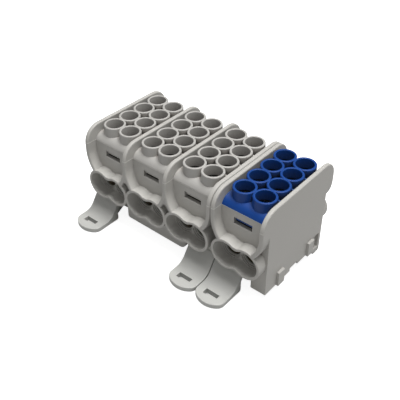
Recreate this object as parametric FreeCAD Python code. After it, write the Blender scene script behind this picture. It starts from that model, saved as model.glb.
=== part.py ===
# Four-pole feed-through power distribution block for a 35 mm mounting rail.
# A grey three-pole module stands beside a grey one-pole module with a blue cover.
# Frame: +X runs along the poles, +Y to the back, +Z up, all in millimetres.
# The origin lies on the rail seat, in the middle of the block and of the rail.
import FreeCAD, Part
import math
import os

# Poles and modules
POLES_PER_MODULE = (3, 1)     # poles of the left and of the right housing
POLE_WIDTH = 22.8             # clear width of a pole between its two plate walls
PLATE = 2.1                   # thickness of a plate wall
MODULE_GAP = 0.2              # space between the two housings

# Depths, measured each way from the middle plane of the rail
BODY_HALF = 22.5              # recessed front and rear faces
RIM_OUT = 5.15                # how far the plate walls and collars stand out from them
WALL = 2.0                    # thickness of the front and rear walls

# Heights above the rail seat
FUNNEL_TOP = 45.0             # rims of the screw funnels
PLATE_PROUD = 0.6             # how far the plate walls stand above the funnels
PLATE_CORNER = 8.5            # radius of a plate wall's upper corners
SEAM_Z = 37.6                 # seam between a cover and its housing
CHAMBER_FLOOR = 10.0          # floor under a terminal bar
FLOOR = 1.7                   # thickness of that floor
EDGE_ROUND = 0.65             # rounding of the plate walls' rims

# Conductor entries: two round lobes side by side, drawn together below the plates
ENTRY_PITCH = 10.3            # centre distance of the two conductors of a pole
ENTRY_Z = 16.5                # height of the conductor axes
LOBE_R = 6.45                 # inner radius of a lobe at its mouth
LOBE_WALL = 1.2               # thickness of the collar
WAIST_R = 2.0                 # rounding of the waist outside
TAPER = 0.9                   # how much the inside of a lobe narrows to its floor
NECK_Z = 33.5                 # height at which the plates start to bend inwards
NECK_BEND = 18.0              # outer radius of that bend
NECK_OVERRUN = 3.0            # degrees by which the bend runs on into the collar
COLLAR_ROUND = 0.35           # rounding of the collar's mouth
VALLEY_DEPTH = 2.6            # depth of the recess between two neighbouring necks
VALLEY_TOP = 25.4             # upper end of that recess
VALLEY_HALF = 1.0             # half width of the bridge above it
GUIDE_R = 4.1                 # round hole that leads the conductor into the bar
STEP_RADII = (5.25, 4.7)      # steps around that hole, from the outside inwards
STEP_DEPTH = 0.6              # depth of one step

# Windows for the covers' catches
WINDOW_WIDTH = 9.45
WINDOW_HEIGHT = 3.45
WINDOW_Z = 30.7               # lower edge of a window

# Funnel covers
ROWS = 4
ROW_INSET = 7.5               # from the outer face to the outermost row of screws
FUNNEL_R = 4.35               # inner radius of a screw funnel
FUNNEL_WALL = 0.7
FUNNEL_LENGTH = 5.5
FUNNEL_ROUND = 0.2            # rounding of a funnel's rim, inside and outside
COVER_DROP = 4.0              # top of the cover plate below the funnel rims
COVER_WALL = 1.5              # thickness of that plate
SHOULDER_R = 5.0              # outer radius of the cover's front and rear shoulders
COVER_PLAY = 0.1              # side play of a cover between its plates
WEB = 0.8                     # thickness of the webs between the funnels
WEB_HEIGHT = 0.9              # how far they stand above the cover plate
WEB_INSET = 0.5               # end of a web inside the cover's edge
CATCH_WIDTH = 8.9
CATCH_HEIGHT = 1.7
CATCH_ARM = 1.0               # thickness of the arm that carries a catch
CATCH_DEPTH = 1.1             # how far a catch reaches into its window
CATCH_PLAY = 0.15

# Terminal bars and clamp screws
BAR_TOP = 30.3
BAR_PLAY = 0.2                # play of a bar in its chamber, each way
BAR_BORE_R = 4.3
BAR_CHAMFER = 0.5
SCREW_R = 4.0
SCREW_LENGTH = 16.0
SCREW_LIFT = 0.4              # rest gap between a screw and the conductor bore
THREAD_PLAY = 0.05
SOCKET_AF = 4.5               # across the flats of the hexagon socket
SOCKET_DEPTH = 5.0
SCREW_CHAMFER = 0.6

# Rail, rail hook and latches
RAIL_WIDTH = 35.0
RAIL_EDGE = 1.0               # thickness of the rail's edge
RAIL_PLAY = 0.3
GRIP = 1.2                    # how far hook and latches reach under the rail
FOOT_DEPTH = 4.6              # lowest level of hook and latches below the seat
HOOK_LIP = 1.0                # thickness of the hook at its tip
HOOK_CHAMFER = 0.8
LATCH_WIDTH = 15.1
LATCH_SLIDE_WIDTH = 10.6      # width of the tongue's slide inside the housing
LATCH_SLIDE = 2.2             # thickness of that slide
LATCH_PLAY = 0.1
LATCH_TRAVEL = 3.5
STRIP = 2.0                   # thickness of the bent strip
STRIP_SLOPE = 56.0            # its slope in degrees
STRIP_FOOT_OUT = 6.2          # from the body's front to where the slope meets the tongue
KNEE_BEND = 2.5               # radius of its upper bend
FOOT_BEND = 6.15              # radius of its lower bend
HEEL_OUT = 0.7                # from the body's front to the rear of the tongue
HEEL_ROUND = 1.3
HEEL_GROOVE = (1.3, 0.8)      # depth and height of the groove above the nose
TONGUE_TOP = -1.8             # upper face of the flat tongue
TONGUE_TIP = 5.3              # length of the rounded tip
TIP_CORNER = 4.0              # radius of the tip's corners
TONGUE_OUT = 18.4             # from the body's front to the front of the tip
SLOT_LENGTH = 7.2
SLOT_WIDTH = 2.15
SLOT_LEG = (2.5, 0.9, 1.3)    # length, width and depth of the blind leg of the slot
SLOT_OUT = 11.3               # from the body's front to the rear edge of the slot
TONGUE_ROUNDS = (0.35, 1.0)   # rounding of the tongue's upper and lower rim
STOP_PIN_R = 1.5              # pin that stops a latch at both ends of its travel
STOP_PIN_Y = 8.0              # that pin, from the middle of the rail
NOSE_WIDTH = 7.0
NOSE_LIP = 1.2                # thickness of the nose at its tip
NOSE_RAMP = 3.5               # length of the ramp that snaps over the rail
BAY_DEPTH = 4.7               # depth of the openings that let the latches out
BAY_MARGINS = (6.2, 2.65, 4.1)  # space beside each latch, on its inner side
BAY_CORNERS = (1.2, 3.5, 0.4)   # rounding of the base beside each of those spaces

# Coupling clips between housings
CLIP_SIZE = (1.3, 4.5, 7.5)   # how far it stands out, its length and its height
CLIP_INSETS = (10.5, 10.1)    # from the front and from the rear face to a clip's middle
CLIP_PLAY = 0.2
POCKET = (1.4, 4.6, 8.4)      # recess beside the rear clip
POCKET_WALL = 1.7             # wall between that recess and the rear face
POCKET_DROP = 1.4             # how far it reaches below the seat

# Ribbed underside
CORE_DEPTH = 6.3
CORE_LENGTH = 9.0
CORE_START = 3.6
RIB = 1.7
KEEL_NOTCH = (6.4, 1.7)       # length and height of the notch under the middle

OVERLAP = 0.5                 # how far a joined shape reaches into its neighbour
CUT_PAST = 1.0                # how far a cutting shape runs past the face it opens
TINY = 0.01                   # tolerance for finding edges by their position

PITCH = POLE_WIDTH + PLATE
RIM_HALF = BODY_HALF + RIM_OUT
ROW_PITCH = 2.0 * (BODY_HALF - ROW_INSET) / (ROWS - 1)
PLATE_TOP = FUNNEL_TOP + PLATE_PROUD
COVER_TOP = FUNNEL_TOP - COVER_DROP
COVER_CEILING = COVER_TOP - COVER_WALL
LOBE_OUT = LOBE_R + LOBE_WALL
LATCH_CEILING = CHAMBER_FLOOR - FLOOR
SCREW_BOTTOM = ENTRY_Z + BAR_BORE_R + SCREW_LIFT
RAIL_HALF = RAIL_WIDTH / 2.0
STRIP_FOOT = BODY_HALF + STRIP_FOOT_OUT
HEEL = BODY_HALF + HEEL_OUT
TONGUE_REACH = BODY_HALF + TONGUE_OUT
SLOT_BACK = BODY_HALF + SLOT_OUT
CLIP_CENTRES = (CLIP_INSETS[0] - BODY_HALF, BODY_HALF - CLIP_INSETS[1])
BOTTOM_Z = -FOOT_DEPTH
MODULE_WIDTHS = [count * PITCH + PLATE for count in POLES_PER_MODULE]
TOTAL_WIDTH = sum(MODULE_WIDTHS) + MODULE_GAP


def vec(x, y, z):
    return FreeCAD.Vector(x, y, z)


def box(x0, x1, y0, y1, z0, z1):
    return Part.makeBox(x1 - x0, y1 - y0, z1 - z0, vec(x0, y0, z0))


def rod_y(radius, x, z, y0, y1):
    return Part.makeCylinder(radius, y1 - y0, vec(x, y0, z), vec(0, 1, 0))


def rod_z(radius, x, y, z0, z1):
    return Part.makeCylinder(radius, z1 - z0, vec(x, y, z0), vec(0, 0, 1))


def fused(shapes):
    first = shapes[0]
    if len(shapes) == 1:
        return first
    return first.fuse(shapes[1:]).removeSplitter()


def face_of(edges):
    return Part.Face(Part.Wire(Part.__sortEdges__(edges)))


def line(a, b):
    return Part.LineSegment(a, b).toShape()


def arc(a, middle, b):
    return Part.Arc(a, middle, b).toShape()


def on_circle(cx, cz, radius, angle, y):
    turn = math.radians(angle)
    return vec(cx + radius * math.cos(turn), y, cz + radius * math.sin(turn))


def module_left(index):
    return -TOTAL_WIDTH / 2.0 + sum(MODULE_WIDTHS[:index]) + index * MODULE_GAP


def pole_centres(index):
    start = module_left(index) + PLATE + POLE_WIDTH / 2.0
    return [start + i * PITCH for i in range(POLES_PER_MODULE[index])]


def entry_places(centre):
    return (centre - ENTRY_PITCH / 2.0, centre + ENTRY_PITCH / 2.0)


def row_places():
    return [(i - (ROWS - 1) / 2.0) * ROW_PITCH for i in range(ROWS)]


# Outline of two lobes with rounded waists, in the plane at depth y.
def figure_eight(centre, radius, waist, y):
    half = ENTRY_PITCH / 2.0
    rise = math.sqrt((radius + waist) ** 2 - half ** 2)
    lean = math.degrees(math.atan2(rise, half))
    left, right = entry_places(centre)
    edges = []
    for side, x in ((1, right), (-1, left)):
        turns = (lean - 180.0, 0.0, 180.0 - lean)
        points = [on_circle(x, ENTRY_Z, radius, t if side > 0 else 180.0 - t, y) for t in turns]
        edges.append(arc(*points))
    for side in (1, -1):
        points = []
        for turn in (180.0 + lean, 270.0, 360.0 - lean):
            point = on_circle(centre, ENTRY_Z + rise, waist, turn, y)
            points.append(vec(point.x, y, ENTRY_Z + side * (point.z - ENTRY_Z)))
        edges.append(arc(*points))
    return Part.Wire(Part.__sortEdges__(edges))


# Bottle-shaped outline: straight sides that bend inwards to the lobes below.
def bottle(centre, half, bend, y):
    to_lobe = math.hypot(half - bend - ENTRY_PITCH / 2.0, NECK_Z - ENTRY_Z)
    lobe_turn = math.atan2(NECK_Z - ENTRY_Z, ENTRY_PITCH / 2.0 + bend - half)
    cosine = (bend ** 2 + to_lobe ** 2 - LOBE_OUT ** 2) / (2.0 * bend * to_lobe)
    sweep = math.degrees(lobe_turn - math.acos(cosine)) + NECK_OVERRUN
    top = PLATE_TOP + PLATE
    sides = []
    for side in (1, -1):
        hub = centre + side * (half - bend)
        points = []
        for part in (0.0, 0.5, 1.0):
            point = on_circle(0.0, NECK_Z, bend, -sweep * part, y)
            points.append(vec(hub + side * point.x, y, point.z))
        sides.append(points)
    right, left = sides
    edges = [arc(*right), arc(*left), line(right[2], left[2])]
    edges.append(line(right[0], vec(right[0].x, y, top)))
    edges.append(line(left[0], vec(left[0].x, y, top)))
    edges.append(line(vec(right[0].x, y, top), vec(left[0].x, y, top)))
    return face_of(edges)


# Side view of the plate walls, with both upper corners rounded, as a solid.
def plate_envelope(x0, x1):
    low = ENTRY_Z - LOBE_OUT
    corner = RIM_HALF - PLATE_CORNER
    cut = PLATE_CORNER * (1.0 - math.sqrt(0.5))
    edges = []
    for side in (1, -1):
        start = vec(x0, side * RIM_HALF, PLATE_TOP - PLATE_CORNER)
        middle = vec(x0, side * (RIM_HALF - cut), PLATE_TOP - cut)
        end = vec(x0, side * corner, PLATE_TOP)
        edges.append(arc(start, middle, end))
        edges.append(line(vec(x0, side * RIM_HALF, low), start))
    edges.append(line(vec(x0, -corner, PLATE_TOP), vec(x0, corner, PLATE_TOP)))
    edges.append(line(vec(x0, -RIM_HALF, low), vec(x0, RIM_HALF, low)))
    return face_of(edges).extrude(vec(x1 - x0, 0, 0))


# Edges that run along the rim of a plate: on the front or rear plane or round the top.
def rim_edges(shape, x_values):
    chosen = []
    for edge in shape.Edges:
        box_of = edge.BoundBox
        flat_x = box_of.XLength < TINY
        on_side = any(abs(box_of.Center.x - x) < TINY for x in x_values)
        high = box_of.ZMin > NECK_Z - TINY
        furthest = max(abs(box_of.YMin), abs(box_of.YMax))
        outside = furthest > RIM_HALF - TINY or box_of.ZMax > PLATE_TOP - TINY
        on_rim = flat_x and on_side and high and outside
        front_bend = box_of.YLength < TINY and abs(abs(box_of.Center.y) - RIM_HALF) < TINY
        bent = not flat_x and box_of.ZLength > PLATE and box_of.ZMax < NECK_Z + TINY
        if on_rim or (front_bend and bent):
            chosen.append(edge)
    return chosen


# The plate walls of one pole, with the necks that lead down to its entries.
def pole_walls(centre):
    half = POLE_WIDTH / 2.0
    outer = bottle(centre, half + PLATE, NECK_BEND, -RIM_HALF)
    inner = bottle(centre, half, NECK_BEND - PLATE, -RIM_HALF)
    ring = outer.cut(inner).extrude(vec(0, 2.0 * RIM_HALF, 0))
    walls = ring.common(plate_envelope(centre - PITCH, centre + PITCH))
    solids = []
    for wall in walls.Solids:
        side = 1 if wall.CenterOfMass.x > centre else -1
        faces = (centre + side * half, centre + side * (half + PLATE))
        solids.append(wall.makeFillet(EDGE_ROUND, rim_edges(wall, faces)))
    return solids


# Web in the valley between the neck of one pole and that of the next, and the bridge
# that closes the valley above it.
def valley_web(centre):
    reach = (PITCH - ENTRY_PITCH) / 2.0
    middle = centre + PITCH / 2.0
    depth = RIM_HALF - VALLEY_DEPTH
    web = box(middle - reach, middle + reach, -depth, depth, ENTRY_Z, NECK_Z)
    depth = RIM_HALF - COLLAR_ROUND
    bridge = box(middle - VALLEY_HALF, middle + VALLEY_HALF, -depth, depth, VALLEY_TOP, NECK_Z)
    half = POLE_WIDTH / 2.0
    hollows = [bottle(c, half, NECK_BEND - PLATE, -RIM_HALF) for c in (centre, centre + PITCH)]
    return web.fuse(bridge).cut([face.extrude(vec(0, 2.0 * RIM_HALF, 0)) for face in hollows])


# The collar around the two lobes, in front of the recessed face and behind it.
def collar(centre):
    outer = Part.Face(figure_eight(centre, LOBE_OUT, WAIST_R, -RIM_HALF))
    solid = outer.extrude(vec(0, 2.0 * RIM_HALF, 0))
    mouths = [e for e in solid.Edges if e.BoundBox.YLength < TINY]
    return solid.makeFillet(COLLAR_ROUND, mouths)


# The hollow of one entry: a tapered mouth and stepped holes that guide two conductors.
def entry_hollow(centre, side):
    mouth = figure_eight(centre, LOBE_R, WAIST_R + LOBE_WALL, side * (RIM_HALF + TINY))
    floor = figure_eight(centre, LOBE_R - TAPER, WAIST_R + LOBE_WALL + TAPER, side * BODY_HALF)
    hollow = [Part.makeLoft([mouth, floor], True, True)]
    for x in entry_places(centre):
        depth = BODY_HALF
        for radius in STEP_RADII:
            near = depth - STEP_DEPTH
            ends = sorted((side * near, side * (depth + STEP_DEPTH / 2.0)))
            hollow.append(rod_y(radius, x, ENTRY_Z, *ends))
            depth = near
        ends = sorted((side * (BODY_HALF - 2.0 * WALL), side * (depth + STEP_DEPTH / 2.0)))
        hollow.append(rod_y(GUIDE_R, x, ENTRY_Z, *ends))
    return hollow


def latch_places(index):
    left = module_left(index)
    right = left + MODULE_WIDTHS[index]
    inset = LATCH_WIDTH / 2.0 + LATCH_PLAY
    places = [(left + inset, -1)]
    if POLES_PER_MODULE[index] > 1:
        places.append((right - inset, 1))
    return places


# Space in the base for one latch: a bay at the front and a guide for its slide.
def latch_space(x, side, left, right, margin, corner):
    inner = x - side * (LATCH_WIDTH / 2.0 + margin)
    outer = left + PLATE if side < 0 else right - PLATE
    x0, x1 = sorted((inner, outer))
    start = -BODY_HALF - CUT_PAST
    bay = box(x0, x1, start, -BODY_HALF + BAY_DEPTH, -CUT_PAST, LATCH_CEILING)
    half = LATCH_SLIDE_WIDTH / 2.0 + LATCH_PLAY
    low = LATCH_CEILING - LATCH_SLIDE - 2.0 * LATCH_PLAY
    guide = box(x - half, x + half, -BODY_HALF, LATCH_PLAY, low, LATCH_CEILING)
    x0, x1 = sorted((inner, inner - side * corner))
    block = box(x0, x1, start, -BODY_HALF + BAY_DEPTH, -CUT_PAST, corner)
    rounding = block.cut(rod_y(corner, inner - side * corner, corner, start - CUT_PAST, 0.0))
    return [bay, guide, rounding]


# Fixed hook under the rear edge of the rail.
def rail_hook(x0, x1):
    inside = RAIL_HALF + RAIL_PLAY
    lip = RAIL_HALF - GRIP
    top = -RAIL_EDGE - RAIL_PLAY
    points = [vec(x0, inside, OVERLAP), vec(x0, inside, top), vec(x0, lip, top)]
    points += [vec(x0, lip, top - HOOK_LIP), vec(x0, inside, BOTTOM_Z)]
    points += [vec(x0, BODY_HALF - HOOK_CHAMFER, BOTTOM_Z), vec(x0, BODY_HALF, BOTTOM_Z + HOOK_CHAMFER)]
    points.append(vec(x0, BODY_HALF, OVERLAP))
    points.append(points[0])
    return Part.Face(Part.makePolygon(points)).extrude(vec(x1 - x0, 0, 0))


def clip_blocks(x, play):
    out, length, height = CLIP_SIZE
    blocks = []
    for y in CLIP_CENTRES:
        half = length / 2.0 + play
        blocks.append(box(x - OVERLAP, x + out + play, y - half, y + half, -play, height + play))
    return blocks


# Pockets in the underside that keep the wall thickness even.
def core_pockets(index, latches):
    pockets = []
    for centre in pole_centres(index):
        for half_side in (-1, 1):
            x0 = centre + (RIB / 2.0 if half_side > 0 else -POLE_WIDTH / 2.0 + RIB)
            x1 = x0 + POLE_WIDTH / 2.0 - 1.5 * RIB
            pockets.append(box(x0, x1, CORE_START, CORE_START + CORE_LENGTH, -CUT_PAST, CORE_DEPTH))
            beside_latch = any(abs((x0 + x1) / 2.0 - x) < LATCH_WIDTH / 2.0 for x, side in latches)
            if not beside_latch:
                pockets.append(box(x0, x1, -CORE_START - CORE_LENGTH, -CORE_START, -CUT_PAST, CORE_DEPTH))
    return pockets


def housing(index):
    left = module_left(index)
    right = left + MODULE_WIDTHS[index]
    latches = latch_places(index)
    solids = [box(left, right, -BODY_HALF, BODY_HALF, 0.0, SEAM_Z), rail_hook(left, right)]
    cuts = []
    for centre in pole_centres(index):
        half = POLE_WIDTH / 2.0
        solids += pole_walls(centre)
        solids.append(collar(centre))
        inner = BODY_HALF - WALL
        cuts.append(box(centre - half, centre + half, -inner, inner, CHAMBER_FLOOR, SEAM_Z + CUT_PAST))
        window = WINDOW_WIDTH / 2.0
        cuts.append(box(centre - window, centre + window, -BODY_HALF - CUT_PAST, BODY_HALF + CUT_PAST,
                        WINDOW_Z, WINDOW_Z + WINDOW_HEIGHT))
        for side in (-1, 1):
            cuts += entry_hollow(centre, side)
    solids += [valley_web(centre) for centre in pole_centres(index)[:-1]]
    first = sum(len(latch_places(i)) for i in range(index))
    for number, (x, side) in enumerate(latches, first):
        cuts += latch_space(x, side, left, right, BAY_MARGINS[number], BAY_CORNERS[number])
    cuts += core_pockets(index, latches)
    notch, height = KEEL_NOTCH
    cuts.append(box(left - CUT_PAST, right + CUT_PAST, -notch / 2.0, notch / 2.0, -CUT_PAST, height))
    depth, length, tall = POCKET
    rear = BODY_HALF - POCKET_WALL
    cuts.append(box(right - depth, right + CUT_PAST, rear - length, rear, -POCKET_DROP, tall - POCKET_DROP))
    body = fused(solids).cut(cuts).cut(clip_blocks(left, CLIP_PLAY))
    low = LATCH_CEILING - LATCH_SLIDE
    pins = [rod_z(STOP_PIN_R, x, -STOP_PIN_Y, low, LATCH_CEILING + OVERLAP) for x, side in latches]
    return body.fuse(clip_blocks(right, 0.0) + pins).removeSplitter()


# Side view of a cover's plate and rounded shoulders, drawn out to its width.
def cover_shell(centre, half):
    outline = []
    shoulders = ((SHOULDER_R, BODY_HALF, COVER_TOP), (COVER_CEILING - SEAM_Z, BODY_HALF - WALL, COVER_CEILING))
    for radius, reach, top in shoulders:
        hub_z = top - radius
        low_angle = math.asin((SEAM_Z - hub_z) / radius)
        hub_y = reach - radius * math.cos(low_angle)
        mid_angle = (low_angle + math.pi / 2.0) / 2.0
        mid_y = hub_y + radius * math.cos(mid_angle)
        mid_z = hub_z + radius * math.sin(mid_angle)
        points = []
        for side in (1, -1):
            start = vec(centre - half, side * reach, SEAM_Z)
            middle = vec(centre - half, side * mid_y, mid_z)
            end = vec(centre - half, side * hub_y, top)
            outline.append(arc(start, middle, end))
            points.append(end)
        outline.append(line(*points))
    for side in (1, -1):
        outer = vec(centre - half, side * BODY_HALF, SEAM_Z)
        inner = vec(centre - half, side * (BODY_HALF - WALL), SEAM_Z)
        outline.append(line(outer, inner))
    return face_of(outline).extrude(vec(2.0 * half, 0, 0))


# Catch on a spring arm, one at the front and one at the rear.
def catches(centre):
    blocks = []
    reach = CATCH_WIDTH / 2.0
    for side in (1, -1):
        wall_face = BODY_HALF - WALL - CATCH_PLAY
        arm = sorted((side * wall_face, side * (wall_face - CATCH_ARM)))
        low = WINDOW_Z + WINDOW_HEIGHT - CATCH_PLAY - CATCH_HEIGHT
        blocks.append(box(centre - reach, centre + reach, arm[0], arm[1], low, COVER_CEILING + OVERLAP))
        lug = sorted((side * (wall_face - OVERLAP), side * (wall_face + CATCH_DEPTH)))
        blocks.append(box(centre - reach, centre + reach, lug[0], lug[1], low, low + CATCH_HEIGHT))
    return blocks


# Webs that stiffen the cover plate between the rows of funnels.
def webs(centre, half):
    blocks = []
    rows = row_places()
    left, right = entry_places(centre)
    for first, second in zip(rows, rows[1:]):
        y = (first + second) / 2.0
        low, high = COVER_TOP - OVERLAP, COVER_TOP + WEB_HEIGHT
        for x0, x1 in ((centre - half + WEB_INSET, left), (right, centre + half - WEB_INSET)):
            blocks.append(box(x0, x1, y - WEB / 2.0, y + WEB / 2.0, low, high))
    return blocks


# Cover with its screw funnels, rounded shoulders, webs and two catches.
def funnel_cover(centre):
    half = POLE_WIDTH / 2.0 - COVER_PLAY
    tubes = []
    holes = []
    low = FUNNEL_TOP - FUNNEL_LENGTH
    for x in entry_places(centre):
        for y in row_places():
            hole = rod_z(FUNNEL_R, x, y, low - CUT_PAST, FUNNEL_TOP + CUT_PAST)
            tube = rod_z(FUNNEL_R + FUNNEL_WALL, x, y, low, FUNNEL_TOP).cut(hole)
            rim = [edge for edge in tube.Edges if edge.BoundBox.ZMin > FUNNEL_TOP - TINY]
            tubes.append(tube.makeFillet(FUNNEL_ROUND, rim))
            holes.append(hole)
    plate = fused([cover_shell(centre, half)] + webs(centre, half) + catches(centre)).cut(holes)
    return fused([plate] + tubes)


def terminal_bar(centre):
    half_x = POLE_WIDTH / 2.0 - BAR_PLAY
    half_y = BODY_HALF - WALL - BAR_PLAY
    bar = box(centre - half_x, centre + half_x, -half_y, half_y, CHAMBER_FLOOR, BAR_TOP)
    long_edges = [e for e in bar.Edges if e.Length > 2.0 * half_y - TINY]
    bar = bar.makeChamfer(BAR_CHAMFER, long_edges)
    holes = []
    for x in entry_places(centre):
        holes.append(rod_y(BAR_BORE_R, x, ENTRY_Z, -half_y - CUT_PAST, half_y + CUT_PAST))
        for y in row_places():
            holes.append(rod_z(SCREW_R + THREAD_PLAY, x, y, ENTRY_Z, BAR_TOP + CUT_PAST))
    return bar.cut(holes)


def clamp_screw(x, y):
    top = SCREW_BOTTOM + SCREW_LENGTH
    screw = rod_z(SCREW_R, x, y, SCREW_BOTTOM, top)
    screw = screw.makeChamfer(SCREW_CHAMFER, [e for e in screw.Edges if e.BoundBox.ZLength < TINY])
    corner = SOCKET_AF / math.sqrt(3.0)
    turns = [math.radians(60.0 * i) for i in range(7)]
    points = [vec(x + corner * math.cos(turn), y + corner * math.sin(turn), top) for turn in turns]
    socket = Part.Face(Part.makePolygon(points)).extrude(vec(0, 0, -SOCKET_DEPTH))
    return screw.cut(socket)


# Side view of a latch's strip: slide, slope, flat tongue and heel, clear of the rail.
def latch_profile(x):
    top = LATCH_CEILING - LATCH_PLAY
    slope = math.radians(STRIP_SLOPE)
    foot_y = -STRIP_FOOT
    knee_y = foot_y + (top - TONGUE_TOP) / math.tan(slope)
    half_turn = math.tan(slope / 2.0)
    along = vec(0, math.cos(slope), math.sin(slope))
    knee = vec(x, knee_y, top)
    foot = vec(x, foot_y, TONGUE_TOP)
    knee_out = knee - along * (KNEE_BEND * half_turn)
    knee_in = knee + vec(0, KNEE_BEND * half_turn, 0)
    foot_in = foot + along * (FOOT_BEND * half_turn)
    foot_out = foot - vec(0, FOOT_BEND * half_turn, 0)
    across = math.sin(slope / 2.0)
    rise = 1.0 - math.cos(slope / 2.0)
    knee_top = knee_in - vec(0, KNEE_BEND * across, KNEE_BEND * rise)
    foot_low = foot_out + vec(0, FOOT_BEND * across, FOOT_BEND * rise)
    under = top - LATCH_SLIDE
    back = knee + vec(0, STRIP * math.sin(slope), -STRIP * math.cos(slope))
    back_top = back - along * ((back.z - under) / math.sin(slope))
    heel_top = back - along * ((back.y + HEEL) / math.cos(slope))
    round_off = HEEL_ROUND * (1.0 - math.sqrt(0.5))
    heel_low = vec(x, -HEEL, BOTTOM_Z + HEEL_ROUND)
    heel_mid = vec(x, -HEEL - round_off, BOTTOM_Z + round_off)
    heel_end = vec(x, -HEEL - HEEL_ROUND, BOTTOM_Z)
    tip_top = vec(x, -TONGUE_REACH - CUT_PAST, TONGUE_TOP)
    tip_low = vec(x, -TONGUE_REACH - CUT_PAST, BOTTOM_Z)
    end_top = vec(x, -LATCH_PLAY, top)
    end_low = vec(x, -LATCH_PLAY, under)
    edges = [line(end_top, knee_in), arc(knee_in, knee_top, knee_out), line(knee_out, foot_in),
             arc(foot_in, foot_low, foot_out), line(foot_out, tip_top), line(tip_top, tip_low),
             line(tip_low, heel_end), arc(heel_end, heel_mid, heel_low), line(heel_low, heel_top),
             line(heel_top, back_top), line(back_top, end_low), line(end_low, end_top)]
    return face_of(edges)


# Top view of a latch: straight flanks, rounded corners and a wide arc round the tip.
def tongue_outline(x, z):
    half = LATCH_WIDTH / 2.0
    hub_x = half - TIP_CORNER
    hub_y = -TONGUE_REACH + TONGUE_TIP
    radius = (hub_x ** 2 + TONGUE_TIP ** 2 - TIP_CORNER ** 2) / (2.0 * (TONGUE_TIP - TIP_CORNER))
    turn = math.atan2(radius - TONGUE_TIP, hub_x)
    edges = []
    ends = []
    for side in (-1, 1):
        points = []
        for angle in (0.0, -turn / 2.0, -turn):
            y = hub_y + TIP_CORNER * math.sin(angle)
            points.append(vec(x + side * (hub_x + TIP_CORNER * math.cos(angle)), y, z))
        edges.append(arc(*points))
        edges.append(line(points[0], vec(x + side * half, 0, z)))
        ends.append(points[2])
    edges.append(arc(ends[0], vec(x, -TONGUE_REACH, z), ends[1]))
    edges.append(line(vec(x - half, 0, z), vec(x + half, 0, z)))
    return face_of(edges)


# The edges round the front of a tongue, at its upper or at its lower face.
def tongue_rim(shape, z):
    rim = []
    for edge in shape.Edges:
        size = edge.BoundBox
        level = abs(size.ZMin - z) < TINY and size.ZLength < TINY
        if level and size.YMin < -TONGUE_REACH + TONGUE_TIP + TINY:
            rim.append(edge)
    return rim


# Sliding rail latch: a slide inside the housing, a bent strip down to a flat tongue with
# a slot for a screwdriver, and a nose that grips the front edge of the rail.
def rail_latch(x):
    half = LATCH_WIDTH / 2.0
    front = -BODY_HALF - LATCH_PLAY
    strip = latch_profile(x - half).extrude(vec(LATCH_WIDTH, 0, 0))
    height = LATCH_CEILING - BOTTOM_Z
    strip = strip.common(tongue_outline(x, BOTTOM_Z).extrude(vec(0, 0, height)))
    for z, radius in zip((TONGUE_TOP, BOTTOM_Z), TONGUE_ROUNDS):
        strip = strip.makeFillet(radius, tongue_rim(strip, z))
    space = box(x - half, x + half, -TONGUE_REACH, front, BOTTOM_Z, LATCH_CEILING)
    slide = LATCH_SLIDE_WIDTH / 2.0
    slide_space = box(x - slide, x + slide, front - OVERLAP, 0.0, 0.0, LATCH_CEILING)
    start = -SLOT_BACK - SLOT_WIDTH
    reach = SLOT_LENGTH / 2.0
    under, over = BOTTOM_Z - CUT_PAST, TONGUE_TOP + CUT_PAST
    slot = box(x - reach, x + reach, start, -SLOT_BACK, under, over)
    length, width, drop = SLOT_LEG
    leg = box(x - reach, x - reach + length, start - width, start + OVERLAP, TONGUE_TOP - drop, over)
    gap = STOP_PIN_R + LATCH_PLAY
    low = LATCH_CEILING - 2.0 * LATCH_SLIDE
    ends = (-STOP_PIN_Y, -STOP_PIN_Y + LATCH_TRAVEL)
    track = [box(x - gap, x + gap, ends[0], ends[1], low, LATCH_CEILING)]
    track += [rod_z(gap, x, y, low, LATCH_CEILING) for y in ends]
    depth, height = HEEL_GROOVE
    seat = -RAIL_EDGE - RAIL_PLAY
    groove = box(x - half, x + half, -HEEL - depth, -HEEL, seat, seat + height)
    latch = fused([strip.common(space), strip.common(slide_space), latch_nose(x)])
    return latch.cut([slot, leg, groove] + track)


# Nose of a latch: flat on top, with a ramp below that snaps over the rail.
def latch_nose(x):
    x0 = x - NOSE_WIDTH / 2.0
    top = -RAIL_EDGE - RAIL_PLAY
    grip = -RAIL_HALF + GRIP
    points = [vec(x0, -HEEL - HEEL_ROUND, top), vec(x0, grip, top), vec(x0, grip, top - NOSE_LIP),
              vec(x0, grip - NOSE_RAMP, BOTTOM_Z), vec(x0, -HEEL - HEEL_ROUND, BOTTOM_Z)]
    points.append(points[0])
    return Part.Face(Part.makePolygon(points)).extrude(vec(NOSE_WIDTH, 0, 0))


def main():
    os.makedirs("parts", exist_ok=True)
    names = {"housing_three_pole": housing(0), "housing_one_pole": housing(1)}
    places = [x for index in range(len(POLES_PER_MODULE)) for x, side in latch_places(index)]
    for number, x in enumerate(places, 1):
        names["rail_latch_%d" % number] = rail_latch(x)
    centres = pole_centres(0) + pole_centres(1)
    for number, centre in enumerate(centres, 1):
        names["funnel_cover_%d" % number] = funnel_cover(centre)
        names["terminal_bar_%d" % number] = terminal_bar(centre)
        for side, x in zip(("left", "right"), entry_places(centre)):
            for row, y in enumerate(row_places(), 1):
                names["clamp_screw_%d_%s_%d" % (number, side, row)] = clamp_screw(x, y)
    for name, shape in names.items():
        print(name, shape.isValid(), len(shape.Solids), round(shape.Volume, 1))
        shape.exportStep("parts/%s.step" % name)


main()
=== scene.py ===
import math
import random

import bmesh
import bpy
from mathutils import Matrix, Vector


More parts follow.
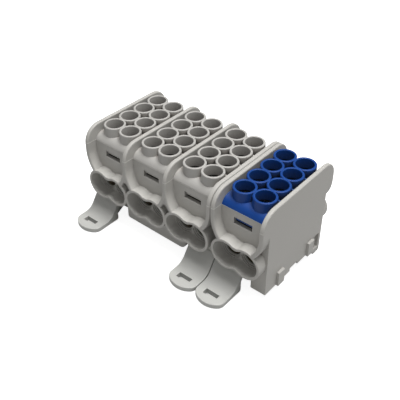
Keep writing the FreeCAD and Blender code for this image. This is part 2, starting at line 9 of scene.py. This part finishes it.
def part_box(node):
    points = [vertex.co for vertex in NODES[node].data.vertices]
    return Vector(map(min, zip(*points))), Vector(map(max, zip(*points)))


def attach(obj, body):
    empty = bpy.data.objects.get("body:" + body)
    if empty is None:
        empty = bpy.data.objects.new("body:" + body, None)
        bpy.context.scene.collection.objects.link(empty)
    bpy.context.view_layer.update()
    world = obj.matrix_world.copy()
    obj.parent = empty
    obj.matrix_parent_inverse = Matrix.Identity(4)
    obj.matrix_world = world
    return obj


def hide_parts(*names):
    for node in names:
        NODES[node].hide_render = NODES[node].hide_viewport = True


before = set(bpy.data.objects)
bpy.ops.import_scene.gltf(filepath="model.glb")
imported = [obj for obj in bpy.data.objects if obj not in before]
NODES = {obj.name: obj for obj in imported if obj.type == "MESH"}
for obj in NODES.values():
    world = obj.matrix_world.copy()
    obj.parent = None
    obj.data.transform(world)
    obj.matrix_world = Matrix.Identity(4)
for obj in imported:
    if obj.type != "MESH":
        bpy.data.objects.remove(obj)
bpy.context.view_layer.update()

# Sizes and places are in millimetres, in the frame of the CAD part, unless a comment says otherwise.
MM = 0.001

# Sizes shared with the CAD part
POLE_CENTRES = (-38.5, -13.6, 11.3, 38.5)
POLE_PITCH = 24.9             # between the poles of the three-pole housing
ENTRY_PITCH = 10.3
ROWS = (-15.0, -5.0, 5.0, 15.0)
ROW_PITCH = 10.0
FLOOR_Z = -4.6

# Clamp screws: M8 thread, hexagon socket
SCREW_R = 4.0
SCREW_LENGTH = 16.0
SCREW_CHAMFER = 0.6
SCREW_SEED = 8                # for the angles at which the screws stand
THREAD_PITCH = 1.25
THREAD_DEPTH = 0.62
# Profile along one pitch, as shares of the pitch and of the depth: root, flank, crest, flank
THREAD_PROFILE = ((0.0, 0.0), (0.12, 0.0), (0.45, 1.0), (0.58, 1.0), (0.9, 0.0), (1.0, 0.0))
END_R = 3.36                  # radius of the flat end faces
SOCKET_AF = 4.5
SOCKET_DEPTH = 5.0
SOCKET_LEAD = 0.25            # chamfer round the mouth of the socket
CONE_DEPTH = 0.9              # depth of the drilled cone below the socket
CONE_SHARE = 0.9              # radius of the cone's rim, as a share of the socket's
AROUND = 36                   # points round a screw
PER_PITCH = 6                 # points along one turn of the thread

# Thick walls of the screw funnels, drawn over the thinner ones of the covers
SLEEVE_IN = 4.2
SLEEVE_OUT = 5.3
SLEEVE_TOP = 45.5
SLEEVE_LOW = 39.52
SLEEVE_ROUNDS = (0.22, 0.4)   # rounding of the rim, inside and outside
SLEEVE_GAP = 0.005            # from a sleeve's flat to half way to its neighbour
SLEEVE_AROUND = 64
CROWN_STEPS = 5

# Drawn meshes and the rounding of the bars' machined edges; angles in degrees
MERGE = 0.001
SHARP_ANGLE = 35.0
WELD = 0.002
FLAT_ANGLE = 0.5
ROUND_ANGLE = 40.0
METAL_ROUND = 0.10

# Parting line of the housings' mould, level with the seams of the covers
SEAM_Z = 37.6
LINE_DEPTH = 22.4             # distance from the middle plane beyond which the line shows
LINE_END = 51.9               # place along X where it ends, on the rim of the right wall
LINE_HALF = 0.11
LINE_RISE = 0.12

# Painted shade of hollows, and soft edges with painted highlights
HOLLOW_REACH = 9.0
HOLLOW_SHADE = (0.1, 0.55)     # openness at which a plastic has its painted shade colour, and its own one
OPEN_REACH = 1.2
PLASTIC_SOFT = 0.32
METAL_SOFT = 0.15
GAP_DARK = (0.10, 0.30)       # openness at which a cover's upright wall is darkest, and clear
GAP_SHADE = 0.10
FOOT_DARK = (40.2, 40.6)      # heights at which a funnel's wall is darkest, and clear
FOOT_REACH = 4.5
FOOT_SHADE = 0.04
METAL_DARK = (0.10, 0.60)     # openness at which metal is darkest, and clear
METAL_SHADE = 0.08

# Colours of the plastics as seen: faces, painted shade in hollows, painted highlight on edges
GREY = ((179, 177, 172), (168, 166, 162), (210, 209, 203))
COVER_GREY = ((172, 170, 166), (178, 172, 165), (210, 206, 200))
BLUE = ((5, 58, 130), (57, 72, 108), (70, 134, 214))
LATCH_GREY = ((184, 184, 180), (170, 170, 166), (216, 216, 212))
# Metals: linear colour, roughness, and closeness of the drawn marks along each axis
BRASS = ((0.20, 0.16, 0.105, 1.0), 0.45, (2600.0, 90.0, 2600.0))
STEEL = ((0.40, 0.40, 0.41, 1.0), 0.22, (1500.0, 1500.0, 1500.0))
WHITE = (1.0, 1.0, 1.0, 1.0)

# Camera of the photograph; angles in degrees, lengths on the picture in its pixels
CAMERA_PLACE = (153.71, -190.40, 204.67)
CAMERA_AZIMUTH = 39.509
CAMERA_ELEVATION = 34.147
CAMERA_ROLL = 0.40
FOCAL_PIXELS = 639.94
FRAME_PIXELS = 400.0
AXIS_PIXEL_Y = 154.96
SENSOR = 36.0
CLIP_START = 0.01             # metres

# Studio, in metres and watts. A lamp is its name, place, target, size and power.
WORLD_LEVEL = 0.245
FLOOR_HALF = 1.5
FLOOR_GREY = (0.5, 0.5, 0.5, 1.0)
FLOOR_GLOW = 0.90             # added towards the camera only
LIGHTS = (
    ("key", (0.13, 0.03, 0.85), (0.0, 0.0, 0.02), 0.45, 8.9),
    ("fill", (0.36, -0.43, 0.85), (0.0, 0.0, 0.02), 0.20, 0.35),
    ("side", (0.75, 0.10, 0.35), (0.0, 0.0, 0.02), 0.40, 0.12),
)
SLOT_ZONE = (3.0, 10.0)       # zone of a tongue's slot, in millimetres from the tongue's edge


def nodes_named(start):
    return [name for name in NODES if name.startswith(start)]


def linear(red, green, blue):
    channels = []
    for value in (red, green, blue):
        value = value / 255.0
        channels.append(value / 12.92 if value <= 0.04045 else ((value + 0.055) / 1.055) ** 2.4)
    return (*channels, 1.0)


def darker(colour, share):
    return tuple(channel * share for channel in colour[:3]) + (1.0,)


# Node-tree helper: adds shader nodes and links them by socket names.
class Shader:
    def __init__(self, name):
        self.material = bpy.data.materials.new(name)
        self.material.use_nodes = True
        self.tree = self.material.node_tree
        self.tree.nodes.clear()
        self.output = self.tree.nodes.new("ShaderNodeOutputMaterial")

    def add(self, kind, inputs=None, **settings):
        node = self.tree.nodes.new("ShaderNode" + kind)
        for key, value in settings.items():
            setattr(node, key, value)
        for key, value in (inputs or {}).items():
            if isinstance(value, bpy.types.NodeSocket):
                self.tree.links.new(value, node.inputs[key])
            else:
                node.inputs[key].default_value = value
        return node

    def math(self, operation, *values):
        return self.add("Math", dict(enumerate(values)), operation=operation).outputs[0]

    # Carries a value linearly from one range to another, and holds it at the ends.
    def ramp(self, value, start, end, low=0.0, high=1.0):
        return self.add("MapRange", {"Value": value, "From Min": start, "From Max": end,
                                     "To Min": low, "To Max": high}).outputs[0]

    def blend(self, share, first, second):
        return self.add("Mix", {0: share, 6: first, 7: second}, data_type="RGBA").outputs[2]

    def scale(self, colour, share):
        return self.add("VectorMath", {0: colour, "Scale": share}, operation="SCALE").outputs[0]

    def noise(self, place, scale, detail, roughness=0.5):
        return self.add("TexNoise", {"Vector": place, "Scale": scale, "Detail": detail,
                                     "Roughness": roughness}).outputs["Fac"]

    # Openness of a point: the share of the sky that nothing within reach hides.
    def openness(self, reach, samples, **settings):
        return self.add("AmbientOcclusion", {"Distance": reach * MM}, samples=samples, **settings).outputs["AO"]

    def split(self, vector):
        parts = self.add("SeparateXYZ", {"Vector": vector}).outputs
        return parts["X"], parts["Y"], parts["Z"]

    # Place within a row of equal cells, measured from the centre of the cell it falls in.
    def cell(self, value, centre, pitch):
        wrapped = self.math("WRAP", value, (centre + pitch / 2.0) * MM, (centre - pitch / 2.0) * MM)
        return self.math("SUBTRACT", wrapped, centre * MM)

    def finish(self, shader):
        self.tree.links.new(shader.outputs[0], self.output.inputs["Surface"])
        return self.material


# Mask of the fine line that the parting of the mould leaves, down to the recessed faces.
def parting_line(s, place):
    x, y, z = s.split(place)
    away = s.math("ABSOLUTE", s.math("SUBTRACT", z, SEAM_Z * MM))
    near = s.ramp(away, LINE_HALF * MM, LINE_HALF * 2.0 * MM, 1.0, 0.0)
    outside = s.math("GREATER_THAN", s.math("ABSOLUTE", y), LINE_DEPTH * MM)
    within = s.math("LESS_THAN", x, LINE_END * MM)
    return s.math("MULTIPLY", near, s.math("MULTIPLY", outside, within))


# Brightness of a cover around the pole centre given: its upright walls go dark in deep gaps,
# and the foot of each funnel lies in the dark.
def deep_shade(s, hollow, place, centre):
    upward = s.split(s.add("NewGeometry").outputs["Normal"])[2]
    shade = s.math("MAXIMUM", s.ramp(hollow, *GAP_DARK, GAP_SHADE), s.math("ABSOLUTE", upward))
    x, y, z = s.split(place)
    from_entry = s.math("ABSOLUTE", s.cell(x, centre, POLE_PITCH))
    from_entry = s.math("SUBTRACT", from_entry, ENTRY_PITCH / 2.0 * MM)
    from_axis = s.add("CombineXYZ", {"X": from_entry, "Y": s.cell(y, ROWS[2], ROW_PITCH)}).outputs[0]
    radius = s.add("VectorMath", {0: from_axis}, operation="LENGTH").outputs["Value"]
    outside = s.math("GREATER_THAN", radius, FOOT_REACH * MM)
    beyond = s.math("GREATER_THAN", s.math("ABSOLUTE", y), (ROWS[3] + ROW_PITCH / 2.0) * MM)
    foot = s.ramp(z, FOOT_DARK[0] * MM, FOOT_DARK[1] * MM, FOOT_SHADE)
    foot = s.math("MAXIMUM", foot, s.math("MAXIMUM", outside, beyond))
    return s.math("MULTIPLY", shade, foot)


# Moulded thermoplastic: fine spark-eroded grain and faint flow marks, with painted highlights
# on its convex edges and a painted shade colour in its hollows.
def plastic(name, colours, roughness, lined=False, centre=None):
    colour, shade_colour, highlight_colour = (linear(*seen) for seen in colours)
    s = Shader(name)
    place = s.add("TexCoord").outputs["Object"]
    flow = s.noise(place, 55.0, 3.0, 0.6)
    grain = s.noise(place, 4200.0, 2.0)
    dull = s.ramp(flow, 0.0, 1.0, roughness - 0.05, roughness + 0.07)
    tint = s.blend(flow, darker(colour, 0.93), colour)
    hollow = s.openness(HOLLOW_REACH, 8)
    # Painted shade: the less open a point, the more it takes the shade colour.
    tint = s.blend(s.ramp(hollow, *HOLLOW_SHADE), shade_colour, tint)
    soft = s.add("Bevel", {"Radius": PLASTIC_SOFT * MM}, samples=6).outputs[0]
    flat = s.add("NewGeometry").outputs["Normal"]
    likeness = s.add("VectorMath", {0: soft, 1: flat}, operation="DOT_PRODUCT").outputs["Value"]
    convex = s.ramp(s.openness(OPEN_REACH, 6, only_local=True), 0.72, 0.95)
    edge = s.math("MULTIPLY", s.ramp(likeness, 0.995, 0.86), convex)
    if centre is not None:
        tint = s.scale(tint, deep_shade(s, hollow, place, centre))
    # Painted highlight: convex edges are lightened towards the highlight colour.
    highlighted = s.blend(edge, tint, highlight_colour)
    bump = s.add("Bump", {"Height": grain, "Strength": 0.12, "Distance": 0.02 * MM, "Normal": soft})
    # The parting line is a real raised ridge, drawn as a bump, with a painted highlight along it.
    if lined:
        line = parting_line(s, place)
        highlighted = s.blend(line, highlighted, highlight_colour)
        bump = s.add("Bump", {"Height": line, "Strength": 0.8, "Distance": LINE_RISE * MM,
                              "Normal": bump.outputs[0]})
    return s.finish(s.add("BsdfPrincipled", {"Base Color": highlighted, "Roughness": dull, "Normal": bump.outputs[0],
                                             "IOR": 1.45, "Specular IOR Level": 0.4}))


# Plated metal with fine marks drawn along one direction, and painted shade that darkens it in deep holes.
def plated(name, colour, roughness, stretch):
    s = Shader(name)
    place = s.add("TexCoord").outputs["Object"]
    drawn = s.add("Mapping", {"Vector": place, "Scale": stretch}).outputs[0]
    lines = s.noise(drawn, 1.0, 4.0)
    cloud = s.noise(place, 260.0, 3.0)
    dull = s.ramp(lines, 0.0, 1.0, roughness - 0.1, roughness + 0.12)
    tint = s.blend(cloud, darker(colour, 0.78), colour)
    # Painted shade: darker where the metal is less open.
    tint = s.scale(tint, s.ramp(s.openness(HOLLOW_REACH, 8), *METAL_DARK, METAL_SHADE))
    soft = s.add("Bevel", {"Radius": METAL_SOFT * MM}, samples=4).outputs[0]
    bump = s.add("Bump", {"Height": lines, "Strength": 0.2, "Distance": 0.02 * MM, "Normal": soft})
    return s.finish(s.add("BsdfPrincipled", {"Base Color": tint, "Roughness": dull, "Metallic": 1.0,
                                             "Normal": bump.outputs[0], "Coat Weight": 0.6,
                                             "Coat Roughness": 0.12}))


# Radius of the thread at a place along one pitch, from 0 to 1.
def thread_radius(phase):
    for (x0, y0), (x1, y1) in zip(THREAD_PROFILE, THREAD_PROFILE[1:]):
        if phase <= x1:
            height = y0 + (y1 - y0) * (phase - x0) / (x1 - x0)
            return SCREW_R - THREAD_DEPTH * (1.0 - height)
    return SCREW_R - THREAD_DEPTH


# Outline of the socket's hexagon, with as many points as the screw has round it.
def hexagon(radius, z):
    points = []
    for i in range(AROUND + 1):
        turn = 2.0 * math.pi * i / AROUND
        within = (turn + math.pi / 6.0) % (math.pi / 3.0) - math.pi / 6.0
        reach = radius / math.cos(within)
        points.append((reach * math.cos(turn), reach * math.sin(turn), z))
    return points


def circle(radius, z):
    turns = [2.0 * math.pi * i / AROUND for i in range(AROUND + 1)]
    return [(radius * math.cos(turn), radius * math.sin(turn), z) for turn in turns]


# A point of the thread: step j along the helix and place i round the screw. Beyond the
# ends of the screw the point lies on the rim of the end face.
def thread_point(j, i):
    turn = 2.0 * math.pi * i / AROUND
    along = j / PER_PITCH + i / AROUND
    held = min(max(along * THREAD_PITCH, 0.0), SCREW_LENGTH)
    radius = END_R
    if 0.0 < held < SCREW_LENGTH:
        inset = max(0.0, SCREW_CHAMFER - held, SCREW_CHAMFER - (SCREW_LENGTH - held))
        radius = min(thread_radius(along % 1.0), SCREW_R - inset)
    return (radius * math.cos(turn), radius * math.sin(turn), held)


def strip(mesh, lower, upper):
    lower = [mesh.verts.new(Vector(point) * MM) for point in lower]
    upper = [mesh.verts.new(Vector(point) * MM) for point in upper]
    for i in range(len(lower) - 1):
        mesh.faces.new((lower[i], lower[i + 1], upper[i + 1], upper[i]))


def fan(mesh, ring, middle):
    middle = mesh.verts.new(Vector(middle) * MM)
    ring = [mesh.verts.new(Vector(point) * MM) for point in ring]
    for i in range(len(ring) - 1):
        mesh.faces.new((ring[i], ring[i + 1], middle))


# Turns a drawn mesh into data with its material, smooth but for its sharp edges.
def finish_mesh(mesh, name, material):
    bmesh.ops.recalc_face_normals(mesh, faces=mesh.faces)
    data = bpy.data.meshes.new(name)
    mesh.to_mesh(data)
    mesh.free()
    data.shade_smooth()
    data.set_sharp_from_angle(angle=math.radians(SHARP_ANGLE))
    data.materials.append(material)
    return data


def add_object(name, data, matrix=None):
    thing = bpy.data.objects.new(name, data)
    if matrix is not None:
        thing.matrix_world = matrix
    bpy.context.scene.collection.objects.link(thing)
    return thing


# One threaded socket screw, standing on the origin.
def screw_mesh(material):
    mesh = bmesh.new()
    steps = math.ceil(SCREW_LENGTH / THREAD_PITCH * PER_PITCH)
    places = range(AROUND + 1)
    for j in range(-PER_PITCH, steps):
        strip(mesh, [thread_point(j, i) for i in places], [thread_point(j + 1, i) for i in places])
    top = SCREW_LENGTH
    flat = SOCKET_AF / 2.0
    floor = top - SOCKET_DEPTH
    rings = [circle(END_R, top), hexagon(flat + SOCKET_LEAD, top), hexagon(flat, top - SOCKET_LEAD),
             hexagon(flat, floor), circle(flat * CONE_SHARE, floor)]
    for lower, upper in zip(rings, rings[1:]):
        strip(mesh, lower, upper)
    fan(mesh, rings[-1], (0.0, 0.0, floor - CONE_DEPTH))
    fan(mesh, circle(END_R, 0.0), (0.0, 0.0, 0.0))
    bmesh.ops.remove_doubles(mesh, verts=mesh.verts, dist=MERGE * MM)
    return finish_mesh(mesh, "socket_screw", material)


# Threaded screws in place of the plain ones, each turned by its own angle.
def threaded_screws(material):
    data = screw_mesh(material)
    random.seed(SCREW_SEED)
    for name in sorted(nodes_named("clamp_screw")):
        low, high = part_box(name)
        place = Vector(((low[0] + high[0]) / 2.0, (low[1] + high[1]) / 2.0, low[2]))
        turn = Matrix.Rotation(random.uniform(0.0, 2.0 * math.pi), 4, "Z")
        screw = add_object(name.replace("clamp", "threaded"), data, Matrix.Translation(place) @ turn)
        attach(screw, name.replace("clamp_screw", "screw"))
        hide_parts(name)


# Outline of a sleeve's wall, as radius and height: up inside, over the rim and down outside.
def sleeve_outline():
    points = [(SLEEVE_IN, SLEEVE_LOW)]
    inner, outer = SLEEVE_ROUNDS
    for hub, bend, start in ((SLEEVE_IN + inner, inner, math.pi), (SLEEVE_OUT - outer, outer, math.pi / 2.0)):
        for i in range(CROWN_STEPS + 1):
            turn = start - math.pi / 2.0 * i / CROWN_STEPS
            points.append((hub + bend * math.cos(turn), SLEEVE_TOP - bend * (1.0 - math.sin(turn))))
    points.append((SLEEVE_OUT, SLEEVE_LOW))
    return points


# A closed sleeve round the centre given, held between two corners around that centre.
def sleeve(mesh, centre, low, high):
    rings = []
    for radius, z in sleeve_outline():
        ring = []
        for i in range(SLEEVE_AROUND):
            turn = 2.0 * math.pi * i / SLEEVE_AROUND
            dx = min(max(radius * math.cos(turn), low.x), high.x)
            dy = min(max(radius * math.sin(turn), low.y), high.y)
            ring.append(mesh.verts.new((centre + Vector((dx, dy, z))) * MM))
        rings.append(ring)
    for lower, upper in zip(rings, rings[1:] + rings[:1]):
        for i in range(SLEEVE_AROUND):
            j = (i + 1) % SLEEVE_AROUND
            mesh.faces.new((lower[i], lower[j], upper[j], upper[i]))


# The sleeves of one cover. Where two would overlap, both end on a flat half way between them.
def funnel_sleeves(pole, material):
    mesh = bmesh.new()
    reach_x = ENTRY_PITCH / 2.0 - SLEEVE_GAP
    reach_y = ROW_PITCH / 2.0 - SLEEVE_GAP
    for side in (-1, 1):
        for y in ROWS:
            centre = Vector((POLE_CENTRES[pole - 1] + side * ENTRY_PITCH / 2.0, y, 0.0))
            low = Vector((-reach_x if side > 0 else -SLEEVE_OUT, -SLEEVE_OUT if y == ROWS[0] else -reach_y))
            high = Vector((reach_x if side < 0 else SLEEVE_OUT, SLEEVE_OUT if y == ROWS[-1] else reach_y))
            sleeve(mesh, centre, low, high)
    sleeves = add_object("funnel_sleeves_%d" % pole, finish_mesh(mesh, "funnel_sleeves", material))
    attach(sleeves, "block")


# Joins the flat facets of a CAD mesh and rounds its sharp edges.
def round_edges(node):
    joined = node.modifiers.new("weld", "WELD")
    joined.merge_threshold = WELD * MM
    flat = node.modifiers.new("flat", "DECIMATE")
    flat.decimate_type = "DISSOLVE"
    flat.angle_limit = math.radians(FLAT_ANGLE)
    bevel = node.modifiers.new("bevel", "BEVEL")
    bevel.width = METAL_ROUND * MM
    bevel.segments = 1
    bevel.limit_method = "ANGLE"
    bevel.angle_limit = math.radians(ROUND_ANGLE)
    bevel.use_clamp_overlap = False
    bevel.harden_normals = True


def dress(names, material):
    for name in names:
        mesh = NODES[name].data
        mesh.materials.clear()
        mesh.materials.append(material)


def place_camera():
    azimuth = math.radians(CAMERA_AZIMUTH)
    elevation = math.radians(CAMERA_ELEVATION)
    roll = math.radians(CAMERA_ROLL)
    back = Vector((math.sin(azimuth) * math.cos(elevation), -math.cos(azimuth) * math.cos(elevation),
                   math.sin(elevation)))
    right = Vector((math.cos(azimuth), math.sin(azimuth), 0.0))
    up = back.cross(right)
    right, up = (right * math.cos(roll) + up * math.sin(roll), up * math.cos(roll) - right * math.sin(roll))
    turn = Matrix((right, up, back)).transposed().to_4x4()
    data = bpy.data.cameras.new("camera")
    data.sensor_width = SENSOR
    data.lens = FOCAL_PIXELS / FRAME_PIXELS * SENSOR
    data.shift_y = (AXIS_PIXEL_Y - FRAME_PIXELS / 2.0) / FRAME_PIXELS
    data.clip_start = CLIP_START
    camera = add_object("camera", data, Matrix.Translation(Vector(CAMERA_PLACE) * MM) @ turn)
    bpy.context.scene.camera = camera


def area_light(name, place, target, size, power):
    data = bpy.data.lights.new(name, "AREA")
    data.shape = "DISK"
    data.size = size
    data.energy = power
    aim = (Vector(target) - Vector(place)).to_track_quat("-Z", "Y")
    add_object(name, data, Matrix.Translation(place) @ aim.to_matrix().to_4x4())


# An even world that is white to the camera, and the lamps.
def studio():
    world = bpy.data.worlds.new("studio")
    bpy.context.scene.world = world
    world.use_nodes = True
    tree = world.node_tree
    tree.nodes.clear()
    path = tree.nodes.new("ShaderNodeLightPath")
    seen = tree.nodes.new("ShaderNodeMath")
    seen.operation = "MAXIMUM"
    tree.links.new(path.outputs["Is Camera Ray"], seen.inputs[0])
    tree.links.new(path.outputs["Is Transmission Ray"], seen.inputs[1])
    level = tree.nodes.new("ShaderNodeMapRange")
    tree.links.new(seen.outputs[0], level.inputs["Value"])
    level.inputs["To Min"].default_value = WORLD_LEVEL
    level.inputs["To Max"].default_value = 1.0
    background = tree.nodes.new("ShaderNodeBackground")
    background.inputs["Color"].default_value = WHITE
    tree.links.new(level.outputs[0], background.inputs["Strength"])
    output = tree.nodes.new("ShaderNodeOutputWorld")
    tree.links.new(background.outputs[0], output.inputs[0])
    for light in LIGHTS:
        area_light(*light)


# Mask of the floor that shows only through the slots of the latches' tongues.
def below_slots(s, place):
    x, y, _ = s.split(place)
    edge, end = (distance * MM for distance in SLOT_ZONE)
    covered = 0.0
    for name in nodes_named("rail_latch"):
        low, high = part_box(name)
        spans = ((x, low[0] + edge, high[0] - edge), (y, low[1] + edge, low[1] + end))
        inside = 1.0
        for along, first, last in spans:
            away = s.math("ABSOLUTE", s.math("SUBTRACT", along, (first + last) / 2.0))
            inside = s.math("MULTIPLY", inside, s.math("LESS_THAN", away, (last - first) / 2.0))
        covered = s.math("MAXIMUM", covered, inside)
    return covered


# A pale floor that glows towards the camera, so that only soft shadows tell it from the world.
def studio_floor():
    corners = [(-FLOOR_HALF, -FLOOR_HALF), (FLOOR_HALF, -FLOOR_HALF), (FLOOR_HALF, FLOOR_HALF),
               (-FLOOR_HALF, FLOOR_HALF)]
    mesh = bpy.data.meshes.new("floor")
    mesh.from_pydata([(x, y, FLOOR_Z * MM) for x, y in corners], [], [(0, 1, 2, 3)])
    floor = add_object("floor", mesh)
    s = Shader("floor_paper")
    path = s.add("LightPath")
    place = s.add("TexCoord").outputs["Object"]
    fibre = s.noise(place, 900.0, 3.0)
    bump = s.add("Bump", {"Height": fibre, "Strength": 0.05, "Distance": 0.02 * MM})
    paper = s.add("BsdfDiffuse", {"Color": FLOOR_GREY, "Normal": bump.outputs[0]}).outputs[0]
    light = s.ramp(below_slots(s, place), 0.0, 1.0, FLOOR_GLOW, 0.0)
    glow = s.add("Emission", {"Color": WHITE, "Strength": light}).outputs[0]
    bright = s.add("AddShader", {0: paper, 1: glow}).outputs[0]
    mesh.materials.append(s.finish(s.add("MixShader", {0: path.outputs["Is Camera Ray"], 1: paper, 2: bright})))


def dress_frame():
    grey = plastic("grey_plastic", GREY, 0.42, lined=True)
    cover = plastic("cover_plastic", COVER_GREY, 0.40, centre=POLE_CENTRES[1])
    blue = plastic("blue_plastic", BLUE, 0.46, centre=POLE_CENTRES[3])
    latch = plastic("latch_plastic", LATCH_GREY, 0.42)
    dress(nodes_named("housing"), grey)
    dress(["funnel_cover_1", "funnel_cover_2", "funnel_cover_3"], cover)
    dress(["funnel_cover_4"], blue)
    dress(nodes_named("rail_latch"), latch)
    dress(nodes_named("terminal_bar"), plated("plated_bar", *BRASS))
    threaded_screws(plated("screw_steel", *STEEL))
    for pole in (1, 2, 3):
        funnel_sleeves(pole, cover)
    funnel_sleeves(4, blue)
    for name in nodes_named("terminal_bar"):
        round_edges(NODES[name])


place_camera()
studio()
studio_floor()
dress_frame()
bpy.context.scene.view_settings.view_transform = "Standard"
